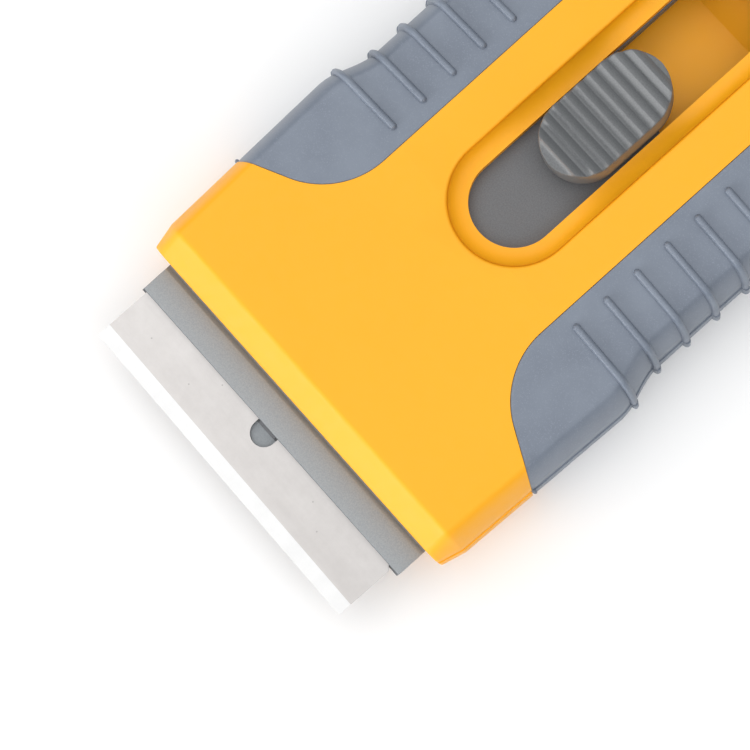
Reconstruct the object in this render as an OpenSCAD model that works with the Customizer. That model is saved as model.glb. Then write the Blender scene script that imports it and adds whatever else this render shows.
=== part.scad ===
// Retractable razor blade scraper. A housing of two moulded halves with soft side grips holds a sliding
// carrier that clamps a single-edge blade. A thumb button presses a leaf spring whose ears lock the carrier
// in three places: drawn in, at work (as drawn) and run out to change the blade.
// X runs across, Y along with the blade towards -Y, Z up. The parts are drawn with Y = 0 at the front of the
// head and then moved so that the origin lies under the middle of the whole scraper.

/* [Housing] */
// Length of the housing, front of the head to the tail
body_l = 104; // [98:1:120]
// Height of each half of the housing
half_h = 6; // [5.8:0.1:7]
// Wall thickness of the housing
wall = 2.2; // [1.9:0.1:2.4]
// Thickness of the wall round the mouth of the head
front_wall = 3; // [2.9:0.1:4]
// Width of the head at its front edge
head_front_w = 45.3; // [44.8:0.1:46]
// Width of the head behind the front bevel
head_w = 46.7; // [46:0.1:48]
// Width across the shoulders, where the neck begins
shoulder_w = 47.9; // [47:0.1:50]
// Width of the waist that the hand closes round
waist_w = 44.8; // [43.5:0.1:46]
// Width of the tail
tail_w = 47.2; // [44:0.1:50]
// Distance of the shoulders from the front of the head
shoulder_y = 24.2; // [23.5:0.1:26]
// Length of the curve from the shoulders into the waist
neck_l = 6.6; // [5:0.1:9]
// Length of the straight waist
waist_l = 40; // [34:0.5:44]
// Length of the curve from the waist out to the tail
flare_l = 8; // [5:0.5:9]
// Corner radius of the tail, seen from above
tail_r = 14; // [10:0.5:16]
// Length of the bevel along the front edge
bevel_l = 2.85; // [1.5:0.05:2.9]
// Height of the bevel along the front edge
bevel_h = 2.8; // [1.5:0.1:3]
// Width of the sloping band along each side
edge_run = 2.95; // [2:0.05:3.5]
// Height of the sloping band along each side
edge_drop = 4; // [3.5:0.1:4.4]

/* [Grips] */
// Thickness of the soft grips
grip_t = 1; // [0.7:0.05:1.2]
// Distance between the left and the right grip on the cover
grip_gap_w = 24; // [22:0.5:28]
// Radius of the curve at each end of a grip
grip_curve_r = 9.5; // [7:0.5:10.5]
// Where the straight inner edge of a grip begins
grip_front_y = 23.7; // [22:0.1:26]
// Length of the straight inner edge of a grip
grip_straight_l = 54.8; // [48:0.1:58]
// Angle of a grip's end to the width of the housing
grip_lead = 26; // [15:1:40]
// Number of ribs on each grip
rib_n = 12; // [6:1:13]
// Place of the first rib
rib_first_y = 26.4; // [25:0.1:28]
// Spacing of the ribs
rib_pitch = 4.15; // [3:0.05:4.4]
// Width of a rib
rib_w = 0.95; // [0.6:0.05:1.4]
// Height of a rib above the grip
rib_h = 0.5; // [0.3:0.05:0.7]
// Distance between the inner ends of the left and right ribs
rib_gap_w = 27.3; // [26:0.1:32]

/* [Button and slot] */
// Length of the thumb button
button_l = 15.4; // [13:0.1:18]
// Width of the thumb button
button_w = 9; // [8:0.1:9.8]
// Place of the middle of the button at work
button_y = 43.25; // [42:0.05:46]
// Height of the button above the cover
button_rise = 3; // [2:0.1:4]
// Number of ridges across the button
tooth_n = 10; // [6:1:12]
// Depth of the valleys between the ridges
tooth_h = 0.5; // [0.3:0.05:0.7]
// How much lower the middle of the button lies than its ends
dish_h = 0.4; // [0.2:0.05:0.8]
// Travel of the button when pressed
press_travel = 1.2; // [0.9:0.1:1.3]
// Width of the hollowed edge round the slot
cove_w = 2.1; // [1.5:0.1:2.6]
// Depth of the hollowed edge round the slot
cove_h = 2.4; // [1.8:0.1:2.6]

/* [Carrier] */
// Travel forward from work, to change the blade
change_travel = 9.2; // [7:0.1:9.6]
// How deep the cutting edge lies in the mouth when it is drawn in
retract_cover = 0.8; // [0.3:0.1:1.5]
// Width of the lower jaw
jaw_w = 40.8; // [40.4:0.1:41.2]
// Thickness of the lower jaw
jaw_t = 1.7; // [1.4:0.1:2]
// How far the lower jaw stands out of the head
jaw_reach = 4.1; // [3.8:0.1:5]
// Width of the clamp over the blade
clamp_w = 40.2; // [39.8:0.1:40.6]
// Thickness of the clamp
clamp_t = 1.4; // [1.1:0.1:1.6]
// How far the clamp stands out of the head
clamp_reach = 3.85; // [3:0.05:4.1]
// Width of the plate between the jaw and the button
plate_w = 20.4; // [19.6:0.1:20.8]
// Thickness of that plate
plate_t = 1.8; // [1.4:0.1:2]
// Length of the window behind the button
window_l = 16; // [12:0.5:17]
// Width of the window behind the button
window_w = 8.2; // [6:0.1:9]
// Thickness of the leaf spring
spring_t = 0.4; // [0.3:0.05:0.5]
// Width of the leaf spring
spring_w = 5.2; // [4.5:0.1:5.8]

/* [Blade] */
// Length of the blade
blade_l = 39; // [38:0.1:39.2]
// Width of the blade, cutting edge to back
blade_w = 19; // [17:0.1:19.6]
// Thickness of the blade
blade_t = 0.3; // [0.22:0.01:0.4]
// How far the cutting edge stands out of the head
blade_reach = 11.05; // [10:0.05:12]
// Width of the ground edge
ground_w = 1.65; // [1:0.05:2.5]
// Width of the hole in the blade
hole_w = 3; // [2.6:0.1:4]
// Length of the hole in the blade
hole_l = 6; // [4.8:0.1:7]
// Distance of the hole from the cutting edge
hole_inset = 5; // [4.6:0.05:5.6]
// Angle by which the blade sits askew in its seat
blade_skew = 0.75; // [0:0.05:0.8]

/* [Screws] */
// Thread diameter of the housing screws
screw_d = 2.6; // [2:0.1:3]
// Head diameter of the housing screws
head_d = 4.6; // [4:0.1:5]
// Head height of the housing screws
head_h = 1.6; // [1.2:0.1:1.7]
// Length of the housing screws under the head
screw_l = 7.4; // [6:0.1:7.6]

/* [Fits] */
// Room between pieces that slide
slide_gap = 0.3; // [0.2:0.05:0.35]
// Seam between pieces that are fixed together
seam = 0.05; // [0.03:0.01:0.1]

/* [Hidden] */
$fn = 48;
// Overrun of every cut past the face that it opens, and of every joint into the piece that it joins
over = 1;
edge_steps = 4;
curve_steps = 6;
tail_steps = 12;
// Exponent of the side band's crown: 1 is flat, 2 is an even curve
crown_power = 1.55;
// Width of the side band that is left at the very end of the tail
tail_lip = 0.2;

yellow = "#FFB52E";
rubber_grey = "#8790A0";
plastic_grey = "#6E7276";
steel = "#D9D6D2";

// Heights, all from the underside of the housing
top_z = 2 * half_h;
side_z = half_h - edge_drop;
slot_land = 0.6;
collar_z = top_z - cove_h - slot_land;
plate_top = collar_z - slide_gap;
plate_z = plate_top - plate_t;
blade_z = half_h;
jaw_z = blade_z - jaw_t;
clamp_z = blade_z + blade_t + seam;
clamp_top = clamp_z + clamp_t;
mouth_z = jaw_z - slide_gap;
mouth_top = clamp_top + slide_gap;

// Lengths along the housing
neck_end = shoulder_y + neck_l;
flare_y = neck_end + waist_l;
flare_end = flare_y + flare_l;
tail_y = body_l - tail_r;
bevel_run = (head_front_w - head_w) / 2 + edge_run;
bevel_rise = edge_drop - bevel_h;
retract_travel = blade_reach + retract_cover;
lock_places = [0, -change_travel, retract_travel];

// Mouth and slot
mouth_w = jaw_w + 2 * slide_gap;
slot_w = button_w + 2 * slide_gap;
slot_front = button_y - button_l / 2 - change_travel - slide_gap;
slot_rear = button_y + button_l / 2 + retract_travel + slide_gap;
slot_l = slot_rear - slot_front;
slot_mid = (slot_front + slot_rear) / 2;

// Blade and jaw
blade_back = blade_w - blade_reach;
hole_y = hole_inset + hole_w / 2 - blade_reach;
pin_l = hole_l - hole_w - slide_gap;
pin_w = hole_w - 2 * slide_gap;
pin_y = hole_y + slide_gap;
edge_y = hole_y - (blade_reach + hole_y) * cos(blade_skew) - blade_l / 2 * sin(blade_skew);
notch_inset = 6.85;
notch_l = 4.6;
notch_h = 1;
tongue_w = 28;
tongue_l = 2.9;
pocket_w = 5.4;
pocket_h = 1;
fence_w = 0.5;
stud_d = 2.4;
stud_gap_w = 24;
stud_wall = 0.9;
stud_y = blade_back + slide_gap + stud_wall + stud_d / 2;
heel_y = blade_back + 2 * slide_gap;
jaw_back = stud_y + stud_d / 2 + stud_wall;
riser_t = 2.4;
riser_y = max(jaw_back, front_wall + change_travel) + slide_gap;
riser_back = riser_y + riser_t;

// Button, spring and the plate that carries them
stem_w = 6;
stem_l = 10;
barb_l = 0.7;
barb_h = 0.9;
stem_z = plate_z - slide_gap / 3 - barb_h;
cap_z = plate_top + press_travel + slide_gap / 2;
window_y = button_y + stem_l / 2 + barb_l + slide_gap;
plate_back = window_y + window_l + riser_t;
leaf_z = stem_z - seam - spring_t;
leaf_lead = 9.5;
leaf_front = button_y - stem_l / 2 - leaf_lead;
leaf_back = button_y + stem_l / 2;
stake_d = 2;
stake_head_d = 3.4;
stake_head_h = 0.5;
stake_boss_d = 3.8;
stake_places = [leaf_front + stake_boss_d / 2, leaf_front + 3 * stake_boss_d / 2 + slide_gap];
ear_gap_w = 15;
ear_l = 2.4;
ear_top = collar_z + slot_land - seam;
notch_top = collar_z + slot_land + seam;
ear_room = 2 * slide_gap;

// Rails, track and ribs inside the housing
collar_w = ear_gap_w + 2 * ear_room + 2 * slot_land;
rail_w = 1.4;
guide_w = 1.2;
guide_x = plate_w / 2 + slide_gap;
rail_x = plate_w / 2 - rail_w;
rail_front = riser_back + retract_travel + slide_gap;
rail_back = plate_back + retract_travel;
rail_top = plate_z - slide_gap;
guide_top = plate_z + plate_t / 2;
track_w = 12;
track_top = leaf_z - press_travel - slide_gap;
track_back = 60.3;
jaw_rib_w = 1.2;
jaw_rib_gap_w = 30;
jaw_rib_back = jaw_back + retract_travel;

// Screws and their bosses
boss_d = 5.6;
boss_wall = 0.9;
head_recess = 0.4;
// Least width of a lower grip that is left beside its screw opening
grip_land = 0.5;
seat_z = head_recess + head_h;
sink_d = head_d + 2 * slide_gap;
front_boss_y = jaw_back + retract_travel + boss_wall + boss_d / 2;
front_boss_x = max(
    (guide_x + guide_w + half_w(front_boss_y) - wall) / 2, grip_gap_w / 2 + grip_land + sink_d / 2);
rear_boss_x = tail_w / 2 - tail_r + stud_d;
rear_boss_y = body_l - tail_r + boss_wall;
boss_places = [
    [-front_boss_x, front_boss_y], [front_boss_x, front_boss_y],
    [-rear_boss_x, rear_boss_y], [rear_boss_x, rear_boss_y]];
drive_w = 0.8;
drive_l = 2.8;
drive_h = 0.8;

// Middle of the whole scraper, cutting edge to tail
middle_y = (body_l + edge_y) / 2;

// Outline of the housing

function lerp(a, b, t) = a + (b - a) * t;
function ease(t) = (1 - cos(180 * t)) / 2;
function crown(t) = 1 - pow(1 - t, crown_power);

// Half the width of the housing at a distance from the front of the head
function half_w(y) = (
    y < bevel_l ? lerp(head_front_w, head_w, y / bevel_l)
    : y < shoulder_y ? lerp(head_w, shoulder_w, (y - bevel_l) / (shoulder_y - bevel_l))
    : y < neck_end ? lerp(shoulder_w, waist_w, ease((y - shoulder_y) / neck_l))
    : y < flare_y ? waist_w
    : y < flare_end ? lerp(waist_w, tail_w, ease((y - flare_y) / flare_l))
    : tail_w) / 2;

// Place across of a point of the side band, at a depth in from the outline of the housing less an inset
function band_x(y, depth, inset) =
    y <= tail_y ? half_w(y) - inset - depth
    : tail_w / 2 - tail_r + sqrt(max(0, pow(tail_r - inset - depth, 2) - pow(y - tail_y, 2)));

// Width of the side band: narrower over the front bevel and at the end of the tail
function band_run(y, inset) =
    y < bevel_l ? lerp(bevel_run, edge_run, y / bevel_l)
    : max(tail_lip, min(edge_run, body_l - inset - y));

// Height of a point of the side band above the parting face
function band_z(y, depth, run) =
    side_z + (y < bevel_l
        ? lerp(bevel_rise, edge_drop, y / bevel_l) * crown(depth / run)
        : edge_drop * crown(depth / edge_run));

// Section of one half of the housing, from its right lower corner over the cover to its left one
function half_ring(y, inset, base) =
    let (run = band_run(y, inset))
    let (right = [for (i = [0:edge_steps])
        let (depth = run * i / edge_steps)
        [band_x(y, depth, inset), y, band_z(y, depth, run) - inset]])
    concat(
        [[right[0].x, y, base]], right,
        [for (i = [edge_steps:-1:0]) [-right[i].x, y, right[i].z]], [[-right[0].x, y, base]]);

body_stations = concat(
    [0, bevel_l],
    [for (i = [0:curve_steps]) shoulder_y + neck_l * i / curve_steps],
    [for (i = [0:curve_steps]) flare_y + flare_l * i / curve_steps]);

// Stations from a starting place to the end of the tail, which follows its corner arcs
function stations(start, inset) = concat(
    [start],
    [for (y = body_stations) if (y > start) y],
    [for (i = [0:tail_steps]) tail_y + (tail_r - inset) * sin(90 * i / tail_steps)]);

// Solid through rings that have the same number of points; the two halves of each ring mirror each other
module loft(rings) {
    n = len(rings[0]);
    last = n * (len(rings) - 1);
    polyhedron(
        points = [for (ring = rings, p = ring) p],
        faces = concat(
            [[for (i = [n - 1:-1:0]) i]],
            [for (j = [0:len(rings) - 2], i = [0:n - 1])
                let (a = j * n + i, b = j * n + (i + 1) % n)
                each i < n / 2
                    ? [[a, b + n, a + n], [a, b, b + n]]
                    : [[a, b, a + n], [b, b + n, a + n]]],
            [[for (i = [0:n - 1]) last + i]]));
}

// Upper half of the housing as one block, with its parting face at a base height of zero or below
module half_block(start, inset, base) {
    loft([for (y = stations(start, inset)) half_ring(y, inset, base)]);
}

module to_upper_half() {
    translate([0, 0, half_h]) children();
}

module to_lower_half() {
    translate([0, 0, half_h]) mirror([0, 0, 1]) children();
}

module both_sides() {
    children();
    mirror([1, 0, 0]) children();
}

module place() {
    translate([0, -middle_y, 0]) children();
}

// Block from its least corner to its greatest corner
module block(low, high) {
    translate(low) cube(high - low);
}

// Points of a stadium along Y about the origin
function stadium(l, w) = [
    for (end = [1, -1], i = [0:curve_steps * 2])
        let (a = (end > 0 ? 0 : 180) + 90 * i / curve_steps)
        [w / 2 * cos(a), end * (l - w) / 2 + w / 2 * sin(a)]];

// Grips

// Plan of the right grip, grown all round by an amount
function grip_plan(grow) =
    let (r = grip_curve_r + grow)
    let (middle_x = grip_gap_w / 2 + grip_curve_r)
    let (far_x = max(shoulder_w, tail_w) / 2 + over)
    let (turn = 90 - grip_lead)
    let (front = [for (i = [0:curve_steps])
        let (a = turn * (1 - i / curve_steps))
        [middle_x - r * cos(a), grip_front_y - r * sin(a)]])
    let (rear_y = grip_front_y + grip_straight_l)
    let (rise = (far_x - front[0].x) * tan(grip_lead))
    concat(
        [[far_x, front[0].y - rise]], front,
        [for (i = [curve_steps:-1:0]) [front[i].x, rear_y + grip_front_y - front[i].y]],
        [[far_x, rear_y + grip_front_y - front[0].y + rise]]);

module grip_prism(grow, base) {
    translate([0, 0, base]) linear_extrude(half_h + over - base) polygon(grip_plan(grow));
}

// Room that the right grip fills in the upper half of the housing
module grip_recess() {
    difference() {
        grip_prism(seam, -over);
        half_block(grip_t, grip_t + seam, -2 * over);
    }
}

// Plan of one rib, rounded at its inner end, as a bar that reaches past the side of the housing
module rib_bar(y, top) {
    hull() for (x = [(rib_gap_w + rib_w) / 2, shoulder_w])
        translate([x, y, -2 * over]) cylinder(h = top + 2 * over, d = rib_w, $fn = 16);
}

// Right grip with its ribs, on the upper half of the housing; the ribs stand no higher than a given height
module grip(rib_top) {
    intersection() {
        grip_prism(0, 0);
        difference() {
            union() {
                half_block(0, 0, -over);
                intersection() {
                    half_block(0, -rib_h, -over);
                    for (i = [0:rib_n - 1]) rib_bar(rib_first_y + rib_pitch * i, rib_top);
                }
            }
            half_block(grip_t, grip_t, -2 * over);
        }
    }
}

// Right grip on the lower half, with an opening for the screw head under it
module grip_lower() {
    difference() {
        to_lower_half() grip(half_h);
        translate([front_boss_x, front_boss_y, -over]) cylinder(h = half_h, d = sink_d + 2 * seam);
    }
}

module left_grip_upper() {
    color(rubber_grey) place() mirror([1, 0, 0]) to_upper_half() grip(half_h + rib_h);
}

module right_grip_upper() {
    color(rubber_grey) place() to_upper_half() grip(half_h + rib_h);
}

module left_grip_lower() {
    color(rubber_grey) place() mirror([1, 0, 0]) grip_lower();
}

module right_grip_lower() {
    color(rubber_grey) place() grip_lower();
}

// Housing

// Upper half of the housing as a plain shell of its exact length, hollow and with room for both grips
module half_shell() {
    resize([0, body_l, 0]) difference() {
        half_block(0, 0, 0);
        half_block(front_wall, wall, -over);
        both_sides() grip_recess();
    }
}

// Mouth of the head, and the way that the jaws run back along
module mouth() {
    block([-mouth_w / 2, -over, mouth_z], [mouth_w / 2, jaw_rib_back + slide_gap, mouth_top]);
}

// Ring of the slot at a height, wider than the button's way by a growth on each side
function slot_ring(grow, z) =
    [for (p = stadium(slot_l + 2 * grow, slot_w + 2 * grow)) [p.x, slot_mid + p.y, z]];

// Slot for the button, with its edge hollowed out in a quarter curve
module slot() {
    loft(concat(
        [slot_ring(cove_w, top_z + over)],
        [for (i = [curve_steps:-1:0])
            let (a = 90 * i / curve_steps)
            slot_ring(cove_w * sin(a), top_z - cove_h * cos(a))],
        [slot_ring(0, half_h)]));
}

// Notches under the collar that the spring's ears lock into
module lock_notches() {
    for (y = lock_places, side = [-1, 1])
        translate([side * ear_gap_w / 2, button_y + y, 0])
            block(
                [-ear_room, -ear_l / 2 - slide_gap / 2, collar_z - over],
                [ear_room, ear_l / 2 + slide_gap / 2, notch_top]);
}

module top_shell() {
    ceiling = top_z - wall;
    reach = cove_w + slot_land;
    color(yellow) place() difference() {
        union() {
            to_upper_half() half_shell();
            block(
                [-collar_w / 2, slot_front - reach, collar_z],
                [collar_w / 2, slot_rear + reach, ceiling + over]);
            for (p = boss_places)
                translate([p.x, p.y, half_h]) cylinder(h = half_h - wall + seam, d = boss_d);
            both_sides() translate([jaw_rib_gap_w / 2, 0, 0])
                block(
                    [-jaw_rib_w / 2, front_wall - over, mouth_top],
                    [jaw_rib_w / 2, jaw_rib_back, ceiling + seam]);
        }
        slot();
        mouth();
        lock_notches();
        for (p = boss_places)
            translate([p.x, p.y, half_h - over]) cylinder(
                h = seat_z + screw_l + seam - half_h + over, d = screw_d + 2 * seam);
    }
}

module bottom_shell() {
    floor_z = wall - seam;
    color(yellow) place() difference() {
        union() {
            to_lower_half() half_shell();
            block([-track_w / 2, rail_front, floor_z], [track_w / 2, track_back, track_top]);
            both_sides() {
                block([rail_x, rail_front, floor_z], [guide_x + guide_w, rail_back, rail_top]);
                block([guide_x, rail_front, floor_z], [guide_x + guide_w, rail_back, guide_top]);
                translate([jaw_rib_gap_w / 2, 0, 0])
                    block(
                        [-jaw_rib_w / 2, front_wall - over, floor_z],
                        [jaw_rib_w / 2, jaw_rib_back, mouth_z]);
            }
            for (p = boss_places)
                translate([p.x, p.y, floor_z]) cylinder(h = half_h - floor_z, d = boss_d + boss_wall);
        }
        mouth();
        for (p = boss_places) translate([p.x, p.y, -over]) {
            cylinder(h = seat_z + over, d = sink_d);
            cylinder(h = half_h + 2 * over, d = screw_d + slide_gap);
        }
    }
}

module housing_screws() {
    color(steel) place() for (p = boss_places) translate([p.x, p.y, head_recess]) difference() {
        union() {
            cylinder(h = head_h, d = head_d);
            cylinder(h = head_h + screw_l, d = screw_d);
        }
        for (turn = [0, 90]) rotate(turn)
            block([-drive_l / 2, -drive_w / 2, -over], [drive_l / 2, drive_w / 2, drive_h]);
    }
}

// Carrier and what it carries

module blade_carrier() {
    color(plastic_grey) place() difference() {
        union() {
            block([-jaw_w / 2, -jaw_reach, jaw_z], [jaw_w / 2, jaw_back, blade_z]);
            block([-tongue_w / 2, -jaw_reach - tongue_l, jaw_z], [tongue_w / 2, 0, blade_z - seam]);
            block([-plate_w / 2, jaw_back - over, jaw_z], [plate_w / 2, riser_back, blade_z]);
            block([-plate_w / 2, riser_y, jaw_z], [plate_w / 2, riser_back, plate_top]);
            block([-plate_w / 2, riser_y, plate_z], [plate_w / 2, plate_back, plate_top]);
            block([-pin_w / 2, pin_y, jaw_z], [pin_w / 2, pin_y + pin_l, blade_z + blade_t]);
            both_sides() block(
                [jaw_w / 2 - fence_w, -jaw_reach, jaw_z], [jaw_w / 2, blade_back, blade_z + blade_t]);
            for (y = stake_places) translate([0, y, 0]) {
                translate([0, 0, leaf_z + spring_t])
                    cylinder(h = plate_top - leaf_z - spring_t, d = stake_boss_d);
                translate([0, 0, leaf_z]) cylinder(h = plate_top - leaf_z, d = stake_d);
                translate([0, 0, leaf_z - stake_head_h]) cylinder(h = stake_head_h, d = stake_head_d);
            }
        }
        block(
            [-pocket_w / 2, -jaw_reach - tongue_l + 2 * seam, blade_z - pocket_h],
            [pocket_w / 2, pin_y, blade_z + over]);
        both_sides() translate([stud_gap_w / 2, stud_y, jaw_z - over])
            cylinder(h = jaw_t + 2 * over, d = stud_d + 2 * seam);
        translate([0, button_y, 0]) block(
            [-stem_w / 2 - slide_gap, -stem_l / 2 - slide_gap, plate_z - over],
            [stem_w / 2 + slide_gap, stem_l / 2 + slide_gap, plate_top + over]);
        block(
            [-window_w / 2, window_y, plate_z - over],
            [window_w / 2, window_y + window_l, plate_top + over]);
        for (side = [-1, 1]) translate([side * ear_gap_w / 2, button_y, 0]) block(
            [-ear_room, -ear_l / 2 - slide_gap, plate_z - over],
            [ear_room, ear_l / 2 + slide_gap, plate_top + over]);
    }
}

module blade_clamp() {
    color(plastic_grey) place() {
        block([-clamp_w / 2, -clamp_reach, clamp_z], [clamp_w / 2, jaw_back, clamp_top]);
        block([-clamp_w / 2, heel_y, blade_z], [clamp_w / 2, jaw_back, clamp_top]);
        both_sides() translate([stud_gap_w / 2, stud_y, jaw_z]) cylinder(h = clamp_top - jaw_z, d = stud_d);
    }
}

// Blade flat on the lower jaw, turned a little about its hole
module razor_blade() {
    notch_y = notch_inset - blade_reach;
    color(steel) place() translate([0, hole_y, 0]) rotate(-blade_skew) translate([0, -hole_y, blade_z])
        difference() {
            rotate([90, 0, 90]) linear_extrude(blade_l, center = true) polygon([
                [-blade_reach, blade_t / 2], [ground_w - blade_reach, 0], [blade_back, 0],
                [blade_back, blade_t], [ground_w - blade_reach, blade_t]]);
            translate([0, hole_y + (hole_l - hole_w) / 2, -over])
                linear_extrude(blade_t + 2 * over) polygon(stadium(hole_l, hole_w));
            both_sides() translate([blade_l / 2, notch_y, -over]) linear_extrude(blade_t + 2 * over) polygon([
                [over, -over], [-notch_h, notch_h], [-notch_h, notch_l - notch_h], [over, notch_l + over]]);
        }
}

// Height of the button's dished top at a place along it, as a share of half its length
function dish_z(share) = top_z + button_rise - dish_h * (1 - share * share);

// Ridges across the button: the long faces look to its middle, the steep ones to its ends
tooth_pitch = button_l / tooth_n;
steep_share = 0.25;
function tooth_points(i) =
    let (y = tooth_pitch * i - button_l / 2)
    let (front_half = i < tooth_n / 2)
    let (crest_y = y + tooth_pitch * (front_half ? steep_share : 1 - steep_share))
    [[y, dish_z(2 * y / button_l) - tooth_h], [crest_y, dish_z(2 * crest_y / button_l)]];

module thumb_button() {
    half_l = button_l / 2;
    color(plastic_grey) place() translate([0, button_y, 0]) {
        intersection() {
            translate([0, 0, cap_z]) linear_extrude(top_z + button_rise - cap_z + over)
                polygon(stadium(button_l, button_w));
            rotate([90, 0, 90]) linear_extrude(button_w + 2 * over, center = true) polygon(concat(
                [[-half_l, cap_z - over]],
                [for (i = [0:tooth_n - 1]) each tooth_points(i)],
                [[half_l, dish_z(1) - tooth_h], [half_l, cap_z - over]]));
        }
        block([-stem_w / 2, -stem_l / 2, stem_z], [stem_w / 2, stem_l / 2, cap_z + over]);
        block(
            [-stem_w / 2, -stem_l / 2 - barb_l, stem_z],
            [stem_w / 2, stem_l / 2 + barb_l, stem_z + barb_h]);
    }
}

// Leaf staked under the plate, with two ears bent up through it
module lock_spring() {
    color(steel) place() difference() {
        union() {
            block([-spring_w / 2, leaf_front, leaf_z], [spring_w / 2, leaf_back, leaf_z + spring_t]);
            translate([0, button_y, 0]) {
                block(
                    [-ear_gap_w / 2 - spring_t / 2, -ear_l / 2, leaf_z],
                    [ear_gap_w / 2 + spring_t / 2, ear_l / 2, leaf_z + spring_t]);
                for (side = [-1, 1]) translate([side * ear_gap_w / 2, 0, 0])
                    block([-spring_t / 2, -ear_l / 2, leaf_z], [spring_t / 2, ear_l / 2, ear_top]);
            }
        }
        for (y = stake_places) translate([0, y, leaf_z - over])
            cylinder(h = spring_t + 2 * over, d = stake_d + 2 * seam);
    }
}

top_shell();
bottom_shell();
left_grip_upper();
right_grip_upper();
left_grip_lower();
right_grip_lower();
blade_carrier();
blade_clamp();
razor_blade();
thumb_button();
lock_spring();
housing_screws();
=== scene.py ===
"""Looks of a retractable razor blade scraper: split housing, soft grips, blade carrier and thumb button.

Shapes are drawn in millimetres in the maker's frame, with Y = 0 at the front of the head, and are moved into
the shared frame, in metres, when a piece is finished.
"""

import math

import bmesh
import bpy
from mathutils import Euler, Matrix, Vector


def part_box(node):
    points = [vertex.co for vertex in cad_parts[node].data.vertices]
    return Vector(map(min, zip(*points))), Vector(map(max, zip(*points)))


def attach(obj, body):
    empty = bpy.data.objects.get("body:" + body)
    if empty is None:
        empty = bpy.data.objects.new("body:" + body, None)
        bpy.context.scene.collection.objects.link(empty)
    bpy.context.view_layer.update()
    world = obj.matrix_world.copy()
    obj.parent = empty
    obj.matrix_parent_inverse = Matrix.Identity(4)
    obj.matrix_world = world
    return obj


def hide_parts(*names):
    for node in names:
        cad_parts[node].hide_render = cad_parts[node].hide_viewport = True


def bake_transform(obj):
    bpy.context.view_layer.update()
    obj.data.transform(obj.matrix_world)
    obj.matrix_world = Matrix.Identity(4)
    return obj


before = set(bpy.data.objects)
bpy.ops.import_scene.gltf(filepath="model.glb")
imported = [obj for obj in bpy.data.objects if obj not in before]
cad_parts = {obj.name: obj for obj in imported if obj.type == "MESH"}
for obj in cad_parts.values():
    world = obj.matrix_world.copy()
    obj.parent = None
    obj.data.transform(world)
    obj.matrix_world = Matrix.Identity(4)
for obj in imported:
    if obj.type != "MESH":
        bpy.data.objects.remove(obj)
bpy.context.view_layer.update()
scene = bpy.context.scene

MM = 0.001
HEAD_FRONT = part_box("top_shell")[0].y
TO_FRAME = Matrix.Translation((0, HEAD_FRONT, 0)) @ Matrix.Scale(MM, 4)

# Housing
BODY_L = 104.0
HALF_H = 6.0
WALL = 2.2
FRONT_WALL = 3.0
HEAD_FRONT_W = 45.3
HEAD_W = 46.7
SHOULDER_W = 47.9
WAIST_W = 44.8
TAIL_W = 47.2
SHOULDER_Y = 24.2
NECK_L = 6.6
WAIST_L = 40.0
FLARE_L = 8.0
TAIL_R = 14.0
BEVEL_L = 2.85
BEVEL_H = 2.6
EDGE_RUN = 2.95
EDGE_DROP = 4.0
CROWN_POWER = 1.95
TAIL_LIP = 0.2
TOP_Z = 2 * HALF_H
SIDE_Z = HALF_H - EDGE_DROP
NECK_END = SHOULDER_Y + NECK_L
FLARE_Y = NECK_END + WAIST_L
FLARE_END = FLARE_Y + FLARE_L
TAIL_Y = BODY_L - TAIL_R
BEVEL_RUN = (HEAD_FRONT_W - HEAD_W) / 2 + EDGE_RUN
BEVEL_RISE = EDGE_DROP - BEVEL_H
NOSE_R = 0.18
BEVEL_SOFT = 0.3
PART_EDGE = 0.05
WALL_LEAN = 0.3
PART_STEP = 0.16
UPPER_LEAN = (WALL_LEAN + PART_STEP / 2, 2 * WALL_LEAN)
LOWER_LEAN = (WALL_LEAN - PART_STEP / 2, 0.0)

# Grips
GRIP_T = 1.0
GRIP_IN = 12.0
GRIP_R = 9.5
GRIP_FRONT_Y = 23.7
GRIP_STRAIGHT_L = 54.8
GRIP_LEAD = math.radians(26)
GRIP_EDGE_R = 0.16
GRIP_SEAM = 0.025
RIB_N = 12
RIB_FIRST_Y = 26.4
RIB_PITCH = 4.15
RIB_W = 0.85
RIB_H = 0.58
RIB_IN = 13.65
RIB_SLANT = 0.3
RIB_EVEN_L = 1.0
RIB_FADE_L = 1.6
RIB_BAND_GROW = 0.12
TIP_BEAD_R = 0.28
END_ROWS = 44
END_CROWD = 1.15
RIB_ROWS = (-1.0, -0.75, -0.55, -0.45, -0.425, -0.41, -0.38, -0.34, -0.28, -0.2, -0.1)
FLAT_N = 40
BAND_N = 40
WALL_N = 8
INNER_N = 14
EDGE_SHARES = (0.0, 0.1, 0.28, 0.55, 1.0)
# Place along, distance past a rib's end and lift, for a point with no rib
NO_RIB = (0.0, 99.0, (0.0, 0.0))

# Button, slot and mouth
BUTTON_L = 15.4
BUTTON_W = 9.0
BUTTON_Y = 43.25
BUTTON_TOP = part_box("thumb_button")[1].z / MM
TOOTH_N = 9
TOOTH_FIRST = 1.15
TOOTH_PITCH = 1.6
TOOTH_H = 0.48
VALLEY_SHARE = 0.55
TOOTH_ROWS = (0.0, 0.04, 0.12, 0.25, 0.4, 0.5, VALLEY_SHARE, 0.6, 0.7, 0.78, 0.85, 0.9, 0.94, 0.97)
RIDGE_HOLLOW = 1.3
RIDGE_BACK = 1.9
DISH_H = 0.7
CAP_FLARE = 0.25
CAP_BACK = 0.25
CAP_Z = 10.05
CAP_EDGE_R = 0.22
FOOT_H = 1.5
STEM_W = 6.0
STEM_L = 10.0
STEM_Z = 5.9
BARB_L = 0.7
BARB_H = 0.9
COVE_W = 2.1
COVE_H = 1.7
COVE_LIP = 0.35
SLOT_W = 9.6
SLOT_FRONT = 26.05
SLOT_REAR = 63.1
COLLAR_Z = 9.0
COLLAR_W = 17.4
LOCK_X = 7.5
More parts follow.
